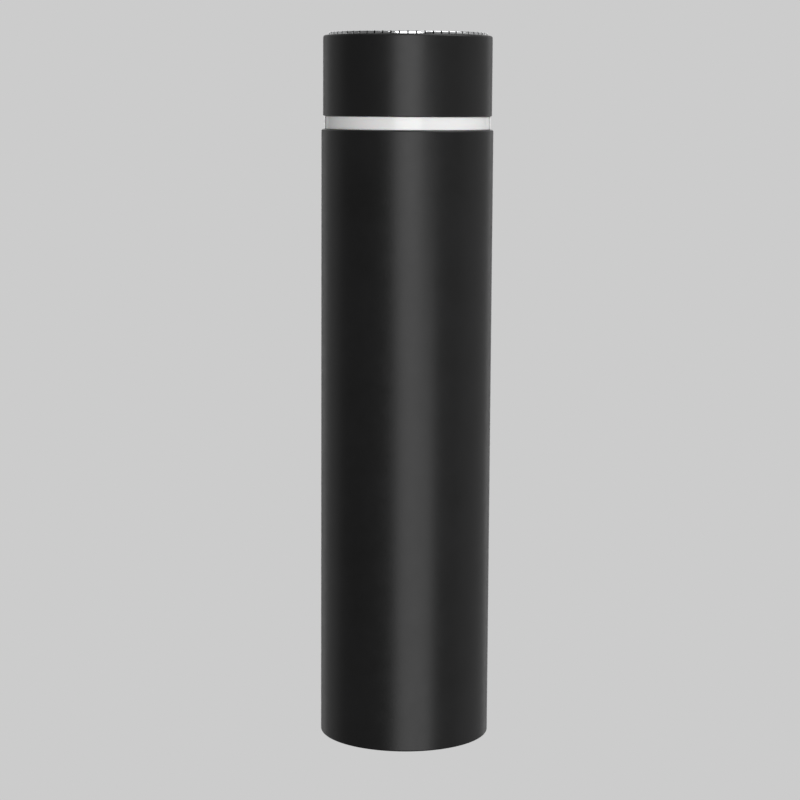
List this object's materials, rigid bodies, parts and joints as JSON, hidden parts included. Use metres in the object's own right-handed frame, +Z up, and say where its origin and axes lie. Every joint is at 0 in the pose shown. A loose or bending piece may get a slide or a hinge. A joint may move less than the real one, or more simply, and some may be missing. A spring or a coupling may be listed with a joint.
{
  "type": "vacuum flask",
  "caption": "Slim cylindrical vacuum flask: a double-walled steel bottle with a threaded neck band and an insulated twist-off lid ringed by a slotted metal crown.",
  "frame": {"origin": "centre of the foot pad's underside, where the flask stands on the table", "axes": "+Z up the flask's axis to the lid, which is also the thread's axis; the flask is the same all round, and -Y is its front"},
  "size_m": [0.065, 0.065, 0.2695],
  "materials": {
    "black_coat": "satin",
    "lid_plastic": "satin",
    "white_plastic": "satin",
    "black_plastic": "satin",
    "chrome": "polished",
    "spun_steel": "satin",
    "steel": "satin",
    "copper": "satin",
    "clear_silicone": "satin",
    "dark_silicone": "matte",
    "foam": "matte",
    "getter_alloy": "matte",
    "solder_glass": "gloss"
  },
  "bodies": {
    "bottle": {"outer_shell": "black_coat", "inner_liner": "steel", "liner_bottom": "steel", "copper_wrap": "copper", "base_cap": "steel", "vacuum_seal": "solder_glass", "getter_pill": "getter_alloy", "getter_clip": "steel", "base_plate": "black_coat", "foot_pad": "dark_silicone", "neck_collar": "white_plastic", "collar_seal": "clear_silicone"},
    "seal": {"mouth_gasket": "clear_silicone"},
    "plug": {"plug_shell": "black_plastic", "plug_foam": "foam", "plug_cover": "black_plastic", "plug_cap": "steel"},
    "lid": {"lid_cup": "black_plastic", "plug_retainer": "black_plastic", "lid_foam": "foam", "lid_shell": "lid_plastic", "crown_ring": "chrome", "top_plate": "spun_steel"}
  },
  "joints": [
    {"name": "lid_lift", "type": "slide", "parent": "bottle", "child": "seal", "axis": [0, 0, 1], "range_m": [0, 0.09]},
    {"name": "lid_rise", "type": "slide", "parent": "seal", "child": "plug", "axis": [0, 0, 1], "range_m": [0, 0.00163]},
    {"name": "lid_turn", "type": "hinge", "parent": "plug", "child": "lid", "pos_m": [0, 0, 0.25], "axis": [0, 0, 1], "range_deg": [0, 65]}
  ],
  "couplings": [
    {"joint": "lid_rise", "follows": "lid_turn", "m_per_rad": 0.0014324}
  ]
}
